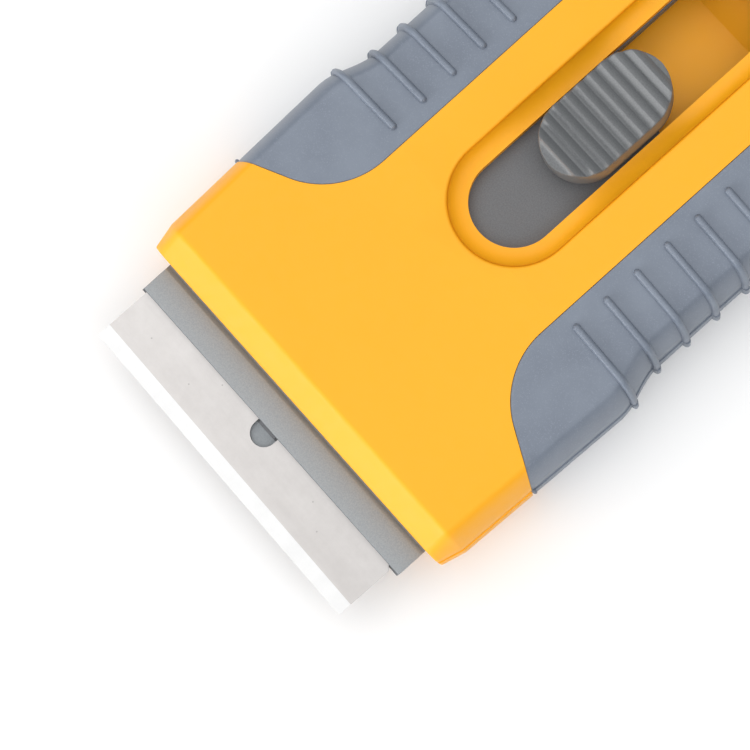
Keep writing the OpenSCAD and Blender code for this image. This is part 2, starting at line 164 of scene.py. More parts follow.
LOCK_W = 1.2
LOCK_L = 2.7
LOCK_TOP = 9.65
LOCK_STEPS = (0.0, -9.2, 11.85)
MOUTH_W = 42.0
MOUTH_Z = 4.0
MOUTH_TOP = 8.05
MOUTH_BACK = 24.6

# Carrier
JAW_TOP = 6.0
WINDOW_W = 9.3
WINDOW_FRONT = 49.3
WINDOW_BACK = 65.2
CORNER_X = 3.4
CORNER_FRONT = 46.9
JAW_TRIM_X = -20.0
STRIP_TOP = 7.75
STRIP_SHIFT = 0.4
SHOULDER_L = 0.75
SHOULDER_H = 0.4
POCKET_W = 5.2
POCKET_FRONT = -6.5
POCKET_BACK = -1.7
POCKET_FLOOR = 5.8
CARRIER_EASE = 0.1
STRIP_EASE = 0.2

# Rails, track and screws inside the housing
RAIL_X = 8.8
GUIDE_X = 10.5
GUIDE_W = 1.2
RAIL_FRONT = 27.3
RAIL_BACK = 79.5
RAIL_TOP = 6.6
GUIDE_TOP = 7.8
TRACK_W = 12.0
TRACK_TOP = 3.95
TRACK_BACK = 60.3
RAMP_L = 3.4
RAMP_TOP = 6.4
RAMP_BACK = 66.5
BOSS_D = 6.5
SINK_D = 5.2
SCREW_D = 2.6
SCREW_HEAD_D = 4.6
SCREW_HEAD_H = 1.6
SCREW_L = 7.4
SCREW_PLAY = 0.3
HEAD_RECESS = 0.4
DRIVE_W = 0.8
DRIVE_L = 2.8
DRIVE_H = 0.8
SCREW_PLACES = ((-16.247, 28.0), (16.247, 28.0), (-12.0, 90.9), (12.0, 90.9))

OVER = 1.0
SMOOTH_ANGLE = math.radians(31)


# Outline of the housing


def lerp(a, b, t):
    return a + (b - a) * t


def ease(t):
    return (1 - math.cos(math.pi * t)) / 2


def soft_min(a, b, k):
    h = max(k - abs(a - b), 0) / k
    return min(a, b) - h * h * k / 4


def crown(t):
    return 1 - (1 - min(max(t, 0), 1)) ** CROWN_POWER


def half_width(y):
    if y < BEVEL_L:
        w = lerp(HEAD_FRONT_W, HEAD_W, y / BEVEL_L)
    elif y < SHOULDER_Y:
        w = lerp(HEAD_W, SHOULDER_W, (y - BEVEL_L) / (SHOULDER_Y - BEVEL_L))
    elif y < NECK_END:
        w = lerp(SHOULDER_W, WAIST_W, ease((y - SHOULDER_Y) / NECK_L))
    elif y < FLARE_Y:
        w = WAIST_W
    elif y < FLARE_END:
        w = lerp(WAIST_W, TAIL_W, ease((y - FLARE_Y) / FLARE_L))
    else:
        w = TAIL_W
    return w / 2


def band_x(y, depth, inset):
    """Place across of a point of the side band, at a depth in from the outline."""
    if y <= TAIL_Y:
        return half_width(y) - inset - depth
    rest = (TAIL_R - inset - depth) ** 2 - (y - TAIL_Y) ** 2
    return TAIL_W / 2 - TAIL_R + math.sqrt(max(0, rest))


def band_run(y, inset):
    if y < BEVEL_L:
        return lerp(BEVEL_RUN, EDGE_RUN, y / BEVEL_L)
    return max(TAIL_LIP, min(EDGE_RUN, BODY_L - inset - y))


def band_z(y, depth, run):
    """Height of a point of the side band above the parting face."""
    if y > TAIL_Y:
        return SIDE_Z + EDGE_DROP * crown(depth / EDGE_RUN)
    line = BEVEL_RISE + (EDGE_DROP - BEVEL_RISE) * y / BEVEL_L
    return SIDE_Z + soft_min(line, EDGE_DROP, BEVEL_SOFT) * crown(depth / run)


def skin_x(y, depth, run, lean):
    """Place across of the outer skin above the side wall; lean is the wall's inset at its foot and top."""
    return band_x(y, depth, 0) - lean[1] * (1 - depth / run)


def nose_drop(y):
    """How far the front edge is rounded off, close to the front of the head."""
    if y >= NOSE_R:
        return 0
    return NOSE_R - math.sqrt(NOSE_R**2 - (NOSE_R - y) ** 2)


def spread(a, b, n):
    return [lerp(a, b, i / n) for i in range(n + 1)]


def body_stations(inset):
    nose = [NOSE_R * (1 - math.cos(math.pi / 2 * i / 5)) for i in range(6)]
    places = nose + spread(0.6, BEVEL_L - 0.6, 3) + spread(BEVEL_L - 0.45, BEVEL_L + 0.45, 12)
    places += spread(BEVEL_L + 2, SHOULDER_Y, 6) + spread(SHOULDER_Y, NECK_END, 16)[1:]
    places += spread(NECK_END, FLARE_Y, 8)[1:] + spread(FLARE_Y, FLARE_END, 16)[1:]
    tail = [TAIL_Y + (TAIL_R - inset) * math.sin(math.pi / 2 * i / 30) for i in range(31)]
    return places + [lerp(FLARE_END, TAIL_Y, 0.5)] + tail


def whole_ring(y, right):
    left = [(-x, z) for x, z in reversed(right)]
    return [(x, y, z) for x, z in right + left]


def outer_ring(y, lean):
    """Section of the outer skin of one half, above its parting face."""
    run = band_run(y, 0)
    nose = nose_drop(y)
    edge_x = band_x(y, 0, 0) - nose
    foot_x = edge_x - lean[0]
    right = [(foot_x - PART_EDGE, 0), (foot_x, PART_EDGE), (edge_x - sum(lean) / 2, SIDE_Z / 2)]
    for depth in spread(0, run, 18):
        right.append((skin_x(y, depth, run, lean) - nose, band_z(y, depth, run) - nose))
    return whole_ring(y, right + [(right[-1][0] * share, right[-1][1]) for share in (0.94, 0.6, 0.25)])


def inner_ring(y, inset, base):
    """Section of a body set in from the outline all round."""
    run = band_run(y, inset)
    right = [(band_x(y, 0, inset), base)]
    for depth in spread(0, run, 8):
        right.append((band_x(y, depth, inset), band_z(y, depth, run) - inset))
    return whole_ring(y, right)


# Solids


def loft(rings):
    """Points and faces of the solid through rings that have the same number of points."""
    n = len(rings[0])
    points = [p for ring in rings for p in ring]
    last = n * (len(rings) - 1)
    faces = [list(range(n - 1, -1, -1)), list(range(last, last + n))]
    for j in range(len(rings) - 1):
        for i in range(n):
            a = j * n + i
            b = j * n + (i + 1) % n
            faces.append([a, b, b + n, a + n])
    return points, faces


def new_object(name, mesh):
    piece = bpy.data.objects.new(name, mesh)
    scene.collection.objects.link(piece)
    return piece


def mend(mesh, reach):
    """Merges points within a reach, drops faces with no area, and turns all faces outwards."""
    bm = bmesh.new()
    bm.from_mesh(mesh)
    if reach:
        bmesh.ops.remove_doubles(bm, verts=bm.verts, dist=reach)
        bmesh.ops.dissolve_degenerate(bm, edges=bm.edges, dist=reach)
    bmesh.ops.recalc_face_normals(bm, faces=bm.faces)
    bm.to_mesh(mesh)
    bm.free()


def solid(name, points, faces):
    mesh = bpy.data.meshes.new(name)
    mesh.from_pydata(points, [], faces)
    mend(mesh, 1e-4)
    return new_object(name, mesh)


def block(low, high):
    (x0, y0, z0), (x1, y1, z1) = low, high
    return solid("block", *loft([[(x0, y, z0), (x1, y, z0), (x1, y, z1), (x0, y, z1)] for y in (y0, y1)]))


def post(x, y, z0, z1, d, sides=48):
    turns = [2 * math.pi * i / sides for i in range(sides)]
    ring = [(x + d / 2 * math.cos(a), y + d / 2 * math.sin(a)) for a in turns]
    return solid("post", *loft([[(px, py, z) for px, py in ring] for z in (z0, z1)]))


def flipped(points):
    """Points of the lower half, from those of the upper half above the parting face."""
    return [(x, y, HALF_H - z) for x, y, z in points]


def lifted(points):
    return [(x, y, HALF_H + z) for x, y, z in points]


def half_body(name, place, lean):
    points, faces = loft([outer_ring(y, lean) for y in body_stations(0)])
    return solid(name, place(points), faces)


def half_core(name, place, start, inset, base):
    places = [start] + [y for y in body_stations(inset) if y > start + 1e-6]
    points, faces = loft([inner_ring(y, inset, base) for y in places])
    return solid(name, place(points), faces)


def evaluated(piece):
    """Turns a piece and its modifiers into a plain mesh."""
    depsgraph = bpy.context.evaluated_depsgraph_get()
    mesh = bpy.data.meshes.new_from_object(piece.evaluated_get(depsgraph))
    piece.modifiers.clear()
    piece.data = mesh
    return piece


def combine(piece, other, operation):
    modifier = piece.modifiers.new("combine", "BOOLEAN")
    modifier.operation = operation
    modifier.solver = "MANIFOLD"
    modifier.object = other
    evaluated(piece)
    bpy.data.objects.remove(other)
    return piece


def cut(piece, other):
    return combine(piece, other, "DIFFERENCE")


def join(piece, other):
    return combine(piece, other, "UNION")


def settle(piece, body, nodes, materials):
    """Moves a piece into the shared frame, shades it and ties it to its body."""
    piece.data.transform(TO_FRAME)
    return tie(piece, body, nodes, materials)


def tie(piece, body, nodes, materials, smooth=SMOOTH_ANGLE):
    piece.data.shade_smooth()
    piece.data.set_sharp_from_angle(angle=smooth)
    piece.data.materials.clear()
    for material in materials:
        piece.data.materials.append(material)
    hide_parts(*nodes)
    if body:
        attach(piece, body)
    return piece


# Node trees


def add(tree, kind, links=None, **settings):
    """One node with its settings; links maps an input to a constant or to another node's output."""
    made = tree.nodes.new(kind)
    for key, value in settings.items():
        setattr(made, key, value)
    for key, value in (links or {}).items():
        if isinstance(value, bpy.types.NodeSocket):
            tree.links.new(value, made.inputs[key])
        else:
            made.inputs[key].default_value = value
    return made


def math_node(tree, operation, *values, clamp=False):
    return add(
        tree, "ShaderNodeMath", dict(enumerate(values)), operation=operation, use_clamp=clamp
    ).outputs[0]


def shape_tree(name, sizes):
    """Geometry tree with named size inputs; gives the tree, its input node and each size's identifier."""
    tree = bpy.data.node_groups.new(name, "GeometryNodeTree")
    face = tree.interface
    face.new_socket("Geometry", in_out="INPUT", socket_type="NodeSocketGeometry")
    face.new_socket("Geometry", in_out="OUTPUT", socket_type="NodeSocketGeometry")
    known = {}
    for label, kind in sizes:
        known[label] = face.new_socket(label, in_out="INPUT", socket_type=kind).identifier
    return tree, tree.nodes.new("NodeGroupInput"), known


def close_tree(tree, geometry, material):
    whole = add(tree, "GeometryNodeRealizeInstances", {0: geometry})
    painted = add(tree, "GeometryNodeSetMaterial", {0: whole.outputs[0], "Material": material})
    out = tree.nodes.new("NodeGroupOutput")
    tree.links.new(painted.outputs[0], out.inputs[0])


def named(tree, kind, label):
    return add(tree, "GeometryNodeInputNamedAttribute", {"Name": label}, data_type=kind).outputs[0]


def grown(piece, tree, known, values):
    modifier = piece.modifiers.new(tree.name, "NODES")
    modifier.node_group = tree
    for label, value in values.items():
        modifier[known[label]] = value
    return evaluated(piece)


# Finishes


def finish(name, colour, roughness):
    material = bpy.data.materials.new(name)
    material.use_nodes = True
    tree = material.node_tree
    shader = tree.nodes["Principled BSDF"]
    shader.inputs["Base Color"].default_value = (*colour, 1)
    shader.inputs["Roughness"].default_value = roughness
    place = tree.nodes.new("ShaderNodeTexCoord").outputs["Object"]
    return material, tree, shader, place


def noise(tree, place, scale, detail=2.0, roughness=0.5):
    links = {"Vector": place, "Scale": scale, "Detail": detail, "Roughness": roughness}
    return add(tree, "ShaderNodeTexNoise", links).outputs["Fac"]


def ranged(tree, value, low, high, to_low, to_high):
    links = {"Value": value, "From Min": low, "From Max": high, "To Min": to_low, "To Max": to_high}
    return add(tree, "ShaderNodeMapRange", links).outputs["Result"]


def mixed(tree, share, a, b):
    links = {"Factor": share, "A": a, "B": b}
    made = tree.nodes.new("ShaderNodeMix")
    made.data_type = "RGBA"
    sockets = {"Factor": made.inputs[0], "A": made.inputs[6], "B": made.inputs[7]}
    for key, value in links.items():
        if isinstance(value, bpy.types.NodeSocket):
            tree.links.new(value, sockets[key])
        else:
            sockets[key].default_value = value if key == "Factor" else (*value, 1)
    return made.outputs[2]


def bumped(tree, shader, height, distance, strength):
    links = {"Height": height, "Distance": distance, "Strength": strength}
    tree.links.new(add(tree, "ShaderNodeBump", links).outputs[0], shader.inputs["Normal"])


def yellow_moulding():
    """Satin moulded plastic: fine spark grain, faint flow tone and a slightly uneven gloss."""
    deep, bright = (0.99, 0.43, 0.007), (1.0, 0.445, 0.009)
    material, tree, shader, place = finish("yellow_moulding", bright, 0.46)
    shader.inputs["Specular IOR Level"].default_value = 0.38
    flow = noise(tree, place, 60.0, 3.0)
    tree.links.new(mixed(tree, ranged(tree, flow, 0.3, 0.7, 0, 1), deep, bright), shader.inputs["Base Color"])
    grain = noise(tree, place, 5200.0, 2.0)
    tree.links.new(ranged(tree, noise(tree, place, 900.0), 0.3, 0.7, 0.41, 0.51), shader.inputs["Roughness"])
    bumped(tree, shader, grain, 0.00002, 0.12)
    return material


def soft_grip_rubber():
    """Soft elastomer with fine pale flecks."""
    dark, pale = (0.163, 0.191, 0.241), (0.196, 0.228, 0.282)
    material, tree, shader, place = finish("soft_grip_rubber", pale, 0.43)
    cloud = noise(tree, place, 220.0, 4.0)
    tone = mixed(tree, ranged(tree, cloud, 0.3, 0.7, 0, 1), dark, pale)
    cells = add(tree, "ShaderNodeTexVoronoi", {"Vector": place, "Scale": 11000.0})
    chosen = add(tree, "ShaderNodeSeparateColor", {"Color": cells.outputs["Color"]}).outputs[0]
    fleck = ranged(tree, chosen, 0.8, 1.0, 0, 1)
    tree.links.new(mixed(tree, fleck, tone, (0.215, 0.247, 0.302)), shader.inputs["Base Color"])
    bumped(tree, shader, noise(tree, place, 5200.0, 3.0), 0.00003, 0.2)
    return material


def grey_moulding(name, dark, pale, roughness):
    """Plain grey moulded plastic with a fine speckled texture."""
    material, tree, shader, place = finish(name, pale, roughness)
    speckle = noise(tree, place, 7000.0, 2.0, 0.6)
    tone = mixed(tree, ranged(tree, speckle, 0.35, 0.65, 0, 1), dark, pale)
    tree.links.new(tone, shader.inputs["Base Color"])
    bumped(tree, shader, speckle, 0.00002, 0.18)
    return material


def rolled_steel(name, dark, pale, roughness, stretch, speck_depth):
    """Steel with fine drawn lines and small handling specks."""
    material, tree, shader, place = finish(name, pale, roughness)
    shader.inputs["Metallic"].default_value = 1.0
    drawn = add(tree, "ShaderNodeMapping", {"Vector": place, "Scale": stretch}).outputs[0]
    lines = noise(tree, drawn, 700.0, 4.0, 0.6)
    cloud = noise(tree, place, 400.0, 7.0, 0.75)
    streaks = math_node(tree, "MULTIPLY", lines, 0.4)
    tone = math_node(tree, "ADD", streaks, math_node(tree, "MULTIPLY", cloud, 0.6))
    sheet = mixed(tree, ranged(tree, tone, 0.35, 0.65, 0, 1), dark, pale)
    cells = add(tree, "ShaderNodeTexVoronoi", {"Vector": place, "Scale": 330.0}, voronoi_dimensions="2D")
    chosen = add(tree, "ShaderNodeSeparateColor", {"Color": cells.outputs["Color"]}).outputs[0]
    spot = ranged(tree, cells.outputs["Distance"], 0.02, 0.035, speck_depth, 0)
    speck = math_node(tree, "MULTIPLY", spot, math_node(tree, "GREATER_THAN", chosen, 0.72))
    worn = [0.45 * part for part in dark]
    tree.links.new(mixed(tree, speck, sheet, worn), shader.inputs["Base Color"])
    low, high = roughness - 0.02, roughness + 0.03
    tree.links.new(ranged(tree, lines, 0.3, 0.7, low, high), shader.inputs["Roughness"])
    bumped(tree, shader, lines, 0.000004, 0.25)
    return material


YELLOW = yellow_moulding()
RUBBER = soft_grip_rubber()
CARRIER_GREY = grey_moulding("carrier_grey", (0.125, 0.13, 0.138), (0.16, 0.166, 0.175), 0.5)
STRIP_GREY = grey_moulding("strip_grey", (0.267, 0.288, 0.304), (0.317, 0.339, 0.356), 0.45)
BUTTON_GREY = grey_moulding("button_grey", (0.124, 0.131, 0.136), (0.155, 0.162, 0.168), 0.36)
BLADE_STEEL = rolled_steel(
    "blade_steel", (0.495, 0.475, 0.464), (0.56, 0.54, 0.528), 0.38, (0.08, 1, 1), 0.55)
GROUND_STEEL = rolled_steel("ground_steel", (0.72, 0.72, 0.72), (0.78, 0.78, 0.78), 0.45, (1, 0.08, 1), 0.0)
PLAIN_STEEL = rolled_steel("plain_steel", (0.5, 0.5, 0.5), (0.6, 0.6, 0.6), 0.36, (1, 1, 0.2), 0.3)


# Housing


def grip_edge_x(y):
    """Place across of a grip's inner edge."""
    middle_x = GRIP_IN + GRIP_R
    middle_y = GRIP_FRONT_Y + GRIP_STRAIGHT_L / 2
    turn = math.pi / 2 - GRIP_LEAD
    away = abs(y - middle_y) - GRIP_STRAIGHT_L / 2
    if away <= 0:
        return GRIP_IN
    bend = GRIP_R * math.sin(turn)
    if away <= bend:
        return middle_x - math.sqrt(GRIP_R**2 - away**2)
    return middle_x - GRIP_R * math.cos(turn) + (away - bend) / math.tan(GRIP_LEAD)


def grip_plan(grow):
    """Plan of the right grip, grown all round, as a closed outline."""
    r = GRIP_R + grow
    middle_x = GRIP_IN + GRIP_R
    far_x = SHOULDER_W / 2 + OVER
    turn = math.pi / 2 - GRIP_LEAD
    front = []
    for i in range(25):
        a = turn * (1 - i / 24)
        front.append((middle_x - r * math.cos(a), GRIP_FRONT_Y - r * math.sin(a)))
    front.insert(0, (far_x, front[0][1] - (far_x - front[0][0]) * math.tan(GRIP_LEAD)))
    whole = 2 * GRIP_FRONT_Y + GRIP_STRAIGHT_L
    return front + [(x, whole - y) for x, y in reversed(front)]


def grip_room(place):
    """Room that both grips fill in one half of the housing."""
    plan = grip_plan(GRIP_SEAM)
    both = None
    for side in (1, -1):
        ring = [(side * x, y) for x, y in plan]
        points, faces = loft([[(x, y, z) for x, y in ring] for z in (-OVER, HALF_H + OVER)])
        prism = solid("grip_room", place(points), faces)
        both = prism if both is None else join(both, prism)
    return cut(both, half_core("core", place, GRIP_T, GRIP_T + GRIP_SEAM, -2 * OVER))


def half_housing(name, place, lean):
    shell = half_body(name, place, lean)
    cut(shell, half_core("hollow", place, FRONT_WALL, WALL, -OVER))
    return cut(shell, grip_room(place))


def stadium(l, w, sides=32):
    points = []
    for end in (1, -1):
        for i in range(sides + 1):
            a = math.pi * (i / sides + (0 if end > 0 else 1))
            points.append((w / 2 * math.cos(a), end * (l - w) / 2 + w / 2 * math.sin(a)))
    return points


def slot_ring(grow, z):
    middle = (SLOT_FRONT + SLOT_REAR) / 2
    length = SLOT_REAR - SLOT_FRONT + 2 * grow
    return [(x, middle + y, z) for x, y in stadium(length, SLOT_W + 2 * grow)]


def slot_cutter():
    """Slot with a hollowed edge, whose outer lip is rounded a little."""
    rings = [slot_ring(COVE_W + COVE_LIP, TOP_Z + OVER), slot_ring(COVE_W + COVE_LIP, TOP_Z)]
    for i in range(1, 7):
        a = math.pi / 2 * i / 6
        rings.append(slot_ring(COVE_W + COVE_LIP * (1 - math.sin(a)), TOP_Z - COVE_LIP * (1 - math.cos(a))))
    for i in range(14, -1, -1):
        a = math.pi / 2 * i / 15
        rings.append(slot_ring(COVE_W * math.sin(a), TOP_Z - COVE_H * math.cos(a)))
    rings.append(slot_ring(0, HALF_H))
    return solid("slot", *loft(rings))


def mouth_cutter():
    low, high = (-MOUTH_W / 2, -OVER, MOUTH_Z), (MOUTH_W / 2, MOUTH_BACK, MOUTH_TOP)
    return block(low, high)


def upper_housing():
    shell = half_housing("upper_housing", lifted, UPPER_LEAN)
    reach = COVE_W + 2 * COVE_LIP
    low = (-COLLAR_W / 2, SLOT_FRONT - reach, COLLAR_Z)
    join(shell, block(low, (COLLAR_W / 2, SLOT_REAR + reach, TOP_Z - WALL + OVER)))
    for x, y in SCREW_PLACES:
        join(shell, post(x, y, HALF_H, TOP_Z - WALL + OVER / 2, BOSS_D - OVER))
        cut(shell, post(x, y, HALF_H - OVER, HEAD_RECESS + SCREW_HEAD_H + SCREW_L, SCREW_D))
    cut(shell, slot_cutter())
    cut(shell, mouth_cutter())
    for step in LOCK_STEPS:
        for x in (-LOCK_X, LOCK_X):
            low = (x - LOCK_W / 2, BUTTON_Y + step - LOCK_L / 2, COLLAR_Z - OVER)
            cut(shell, block(low, (x + LOCK_W / 2, BUTTON_Y + step + LOCK_L / 2, LOCK_TOP)))
    return settle(shell, "housing", ["top_shell"], [YELLOW])


def lower_housing():
    shell = half_housing("lower_housing", flipped, LOWER_LEAN)
    floor = WALL - OVER
    join(shell, block((-TRACK_W / 2, RAIL_FRONT, floor), (TRACK_W / 2, TRACK_BACK, TRACK_TOP)))
    ramp = [(TRACK_BACK - OVER, floor), (TRACK_BACK - OVER, WALL), (TRACK_BACK, TRACK_TOP),
            (TRACK_BACK + RAMP_L, RAMP_TOP), (RAMP_BACK, RAMP_TOP), (RAMP_BACK, floor)]
    join(shell, solid("ramp", *loft([[(x, y, z) for y, z in ramp] for x in (-TRACK_W / 2, TRACK_W / 2)])))
    for side in (1, -1):
        for x0, x1, top in ((RAIL_X, GUIDE_X + GUIDE_W, RAIL_TOP), (GUIDE_X, GUIDE_X + GUIDE_W, GUIDE_TOP)):
            low, high = sorted((side * x0, side * x1))
            join(shell, block((low, RAIL_FRONT, floor), (high, RAIL_BACK, top)))
    for x, y in SCREW_PLACES:
        join(shell, post(x, y, floor, HALF_H, BOSS_D))
        cut(shell, post(x, y, -OVER, HEAD_RECESS + SCREW_HEAD_H, SINK_D))
        cut(shell, post(x, y, -OVER, HALF_H + OVER, SCREW_D + SCREW_PLAY))
    cut(shell, mouth_cutter())
    return settle(shell, "housing", ["bottom_shell"], [YELLOW])


# Grips


def rib_tree():
    """Raises rounded ribs at an even pitch along a skin, following its own outward direction."""
    number = "NodeSocketFloat"
    tree, given, known = shape_tree("moulded_ribs", (
        ("First", number), ("Pitch", number), ("Last index", number), ("Width", number), ("Height", number)))
    size = given.outputs
    along = named(tree, "FLOAT", "rib_along")
    past = named(tree, "FLOAT", "rib_past")
    lift = named(tree, "FLOAT_VECTOR", "rib_lift")
    steps = math_node(tree, "DIVIDE", math_node(tree, "SUBTRACT", along, size["First"]), size["Pitch"])
    nearest = math_node(tree, "ROUND", steps)
    nearest = math_node(tree, "MINIMUM", math_node(tree, "MAXIMUM", nearest, 0.0), size["Last index"])
    off = math_node(tree, "MULTIPLY", math_node(tree, "SUBTRACT", steps, nearest), size["Pitch"])
    off_square = math_node(tree, "POWER", math_node(tree, "ABSOLUTE", off), 2.0)
    past_square = math_node(tree, "POWER", past, 2.0)
    far = math_node(tree, "SQRT", math_node(tree, "ADD", off_square, past_square))
    half = math_node(tree, "MULTIPLY", size["Width"], 0.5)
    share = math_node(tree, "DIVIDE", far, half, clamp=True)
    round_top = math_node(tree, "SUBTRACT", 1.0, math_node(tree, "POWER", share, 2.4))
    bead = math_node(tree, "MULTIPLY", math_node(tree, "POWER", round_top, 0.52), size["Height"])
    offset = add(tree, "ShaderNodeVectorMath", {0: lift, "Scale": bead}, operation="SCALE").outputs[0]
    moved = add(tree, "GeometryNodeSetPosition", {"Geometry": given.outputs["Geometry"], "Offset": offset})
    close_tree(tree, moved.outputs[0], RUBBER)
    return tree, known


def grip_end(start, way):
    """Place along where a grip's inner edge runs out at the outline, found by halving."""
    near, far = start, start + way * 16
    for _ in range(40):
        middle = (near + far) / 2
        if grip_edge_x(middle) > band_x(middle, 0, 0) - UPPER_LEAN[0] - PART_EDGE:
            far = middle
        else:
            near = middle
    return near


def rib_rows():
    """Rows along a grip, close together where a rib stands."""
    front = grip_end(GRIP_FRONT_Y, -1)
    rear = grip_end(GRIP_FRONT_Y + GRIP_STRAIGHT_L, 1)
    first, last = RIB_FIRST_Y - RIB_PITCH / 2, RIB_FIRST_Y + RIB_PITCH * (RIB_N - 0.5)
    shares = [(i / END_ROWS) ** END_CROWD for i in range(END_ROWS + 1)]
    rows = [lerp(front, first, share) for share in shares[:-1]]
    near = [*RIB_ROWS, 0.0, *[-step for step in reversed(RIB_ROWS)]]
    for i in range(RIB_N):
        y = RIB_FIRST_Y + RIB_PITCH * i
        rows += [y - RIB_PITCH / 2, y - RIB_PITCH / 3, *[y + step for step in near], y + RIB_PITCH / 3]
    return rows + [lerp(rear, last, share) for share in reversed(shares)]


def section(y, inset, lean):
    """Section of a half's right side at a place along it, from near its middle out to its parting face."""
    run = band_run(y, inset)
    flat_x = band_x(y, run, inset)
    points = [(x, HALF_H - inset) for x in spread(GRIP_IN - OVER, flat_x, FLAT_N)[:-1]]
    for depth in spread(run, 0, BAND_N):
        x = band_x(y, depth, inset) if inset else skin_x(y, depth, run, lean)
        points.append((x, band_z(y, depth, run) - inset))
    edge_x, wall_z = points[-1]
    foot_x = edge_x if inset else edge_x + lean[1] - lean[0]
    return points + [(lerp(edge_x, foot_x, t), lerp(wall_z, 0, t)) for t in spread(0, 1, WALL_N)[1:]]


def trimmed(points, edge_x):
    """The part of a section that lies outside a grip's inner edge, with its running length."""
    kept = [p for p in points if p[0] > edge_x + 1e-6]
    before = [p for p in points if p[0] <= edge_x + 1e-6]
    if kept and before:
        (x0, z0), (x1, z1) = before[-1], kept[0]
        kept.insert(0, (edge_x, lerp(z0, z1, (edge_x - x0) / (x1 - x0))))
    if len(kept) < 2:
        return [(edge_x, 0.0), (edge_x, 0.0)], [0.0, 0.0]
    lengths = [0.0]
    for (x0, z0), (x1, z1) in zip(kept, kept[1:]):
        lengths.append(lengths[-1] + math.hypot(x1 - x0, z1 - z0))
    return kept, lengths


def sample(points, lengths, s):
    """Point and outward direction of a section at a running length."""
    s = min(max(s, 0.0), lengths[-1])
    i = 0
    while i < len(lengths) - 2 and lengths[i + 1] < s:
        i += 1
    (x0, z0), (x1, z1) = points[i], points[i + 1]
    span = lengths[i + 1] - lengths[i]
    t = (s - lengths[i]) / span if span else 0.0
    size = math.hypot(x1 - x0, z1 - z0) or 1.0
    return (lerp(x0, x1, t), lerp(z0, z1, t)), (-(z1 - z0) / size, (x1 - x0) / size)


def skin_places(edge_l, whole):
    """Running lengths of a grip's columns, close together at its edge and at the ribs' inner ends."""
    near = max(edge_l, min(RIB_IN - GRIP_IN - 0.1, 0.2 * whole))
    far = max(near, min(RIB_IN - GRIP_IN + RIB_W, 0.35 * whole))
    places = [edge_l * share for share in EDGE_SHARES] + spread(edge_l, near, 4)[1:]
    return places + spread(near, far, 14)[1:] + spread(far, whole, 44)[1:]


def grip_ring(y, lean, ribs_flat):
    """Ring of a grip at one row and what its ribs need there; ribs_flat has them on the flat, too.

    Along the ribs the row slants as they do, so that each rib keeps an even edge.
    """
    edge_x = grip_edge_x(y)
    outer, run = trimmed(section(y, 0, lean), edge_x)
    across = 1 / math.hypot(1, (grip_edge_x(y + 0.05) - grip_edge_x(y - 0.05)) / 0.1)
    edge_l = min(GRIP_EDGE_R / across, 0.3 * run[-1])
    outline_x = half_width(y)
    flat_end = band_x(y, band_run(y, 0), 0)
    away = max(RIB_FIRST_Y - y, y - RIB_FIRST_Y - RIB_PITCH * (RIB_N - 1), RIB_EVEN_L)
    slanted = 1 - min((away - RIB_EVEN_L) / RIB_FADE_L, 1.0)
    ring, ribs = [], []
    for s in skin_places(edge_l, run[-1] - PART_EDGE):
        (x, z), (nx, nz) = sample(outer, run, s)
        gone = max(0.0, 1 - s / edge_l) if edge_l else 0.0
        drop = min(GRIP_EDGE_R, edge_l * across) * (1 - math.sqrt(1 - gone * gone))
        wrap = min(max((x - flat_end) / (EDGE_RUN - lean[1]), 0.0), 1.0)
        shift = RIB_SLANT * (outline_x - x) / (outline_x - RIB_IN)
        tall = 1 + RIB_BAND_GROW * math.sin(math.pi * min(1.25 * wrap, 1.0))
        if not ribs_flat:
            tall *= min(3 * wrap, 1.0)
            if nz > 0:
                tall = min(tall, (HALF_H - z) / (nz * RIB_H))
        ring.append((x - nx * drop, y + slanted * shift, z - nz * drop))
        past = max(0.0, RIB_IN + RIB_W / 2 - x)
        ribs.append((y + (slanted - 1) * shift, past, (nx * tall, nz * tall)))
    foot_x, foot_z = sample(outer, run, run[-1])[0]
    ring.append((foot_x - PART_EDGE, y, foot_z))
    ribs.append(NO_RIB)
    inner, inner_run = trimmed(section(y, GRIP_T, lean), edge_x)
    for i in range(INNER_N):
        (x, z), _ = sample(inner, inner_run, inner_run[-1] * (1 - i / (INNER_N - 1)))
        ring.append((min(x, foot_x - PART_EDGE), y, z))
        ribs.append(NO_RIB)
    return ring, ribs


def tip_bead(side, y):
    """Small bead of flash at a grip's front tip, on the parting face."""
    rings = []
    for turn in spread(-0.97, 0.97, 12):
        r = TIP_BEAD_R * math.cos(math.pi / 2 * turn)
        x = side * (half_width(y) - TIP_BEAD_R)
        z = HALF_H + 1.6 * TIP_BEAD_R * math.sin(math.pi / 2 * turn)
        turns = [2 * math.pi * i / 16 for i in range(16)]
        rings.append([(x + 1.5 * r * math.cos(a), y + r * math.sin(a), z) for a in turns])
    return solid("tip_bead", *loft(rings))


